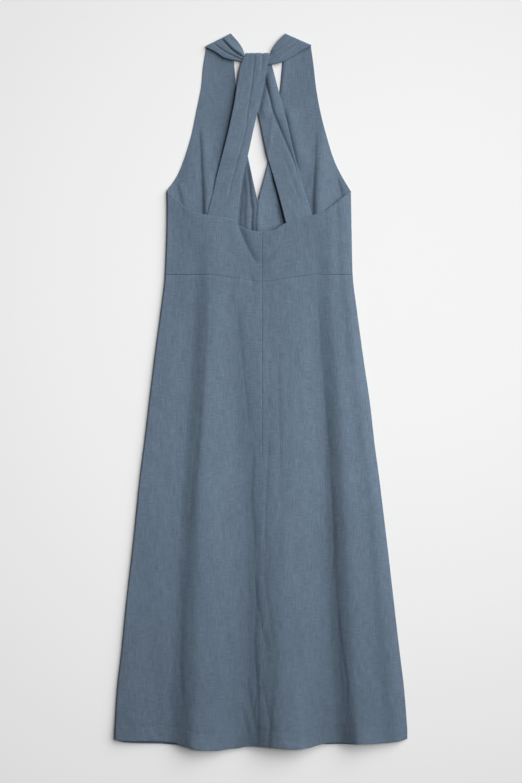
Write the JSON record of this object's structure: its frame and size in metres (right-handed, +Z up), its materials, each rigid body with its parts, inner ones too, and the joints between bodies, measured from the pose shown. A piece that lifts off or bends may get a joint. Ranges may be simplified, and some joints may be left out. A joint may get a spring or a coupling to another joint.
{
  "type": "midi dress",
  "caption": "Sleeveless halter-neck linen midi dress laid flat on its front, with a crossed loop strap at the open back and an A-line skirt in soft folds.",
  "frame": {"origin": "the middle of the flat dress, on the surface that it lies on", "axes": "+Y from the hem to the neck, +X to the right as seen from above with the neck away, +Z up from the surface"},
  "size_m": [0.5115, 1.2533, 0.0177],
  "materials": {
    "linen_front_skirt": "matt washed linen",
    "linen_front_bodice": "matt washed linen",
    "linen_back_skirt": "matt washed linen",
    "linen_back_bodice": "matt washed linen",
    "linen_strap": "matt washed linen"
  },
  "bodies": {
    "root": {"front_skirt": "linen_front_skirt", "front_bodice_left": "linen_front_bodice", "front_bodice_right": "linen_front_bodice", "back_skirt_left": "linen_back_skirt", "back_skirt_right": "linen_back_skirt", "back_bodice_left": "linen_back_bodice", "back_bodice_right": "linen_back_bodice", "back_strap": "linen_strap"}
  },
  "joints": []
}
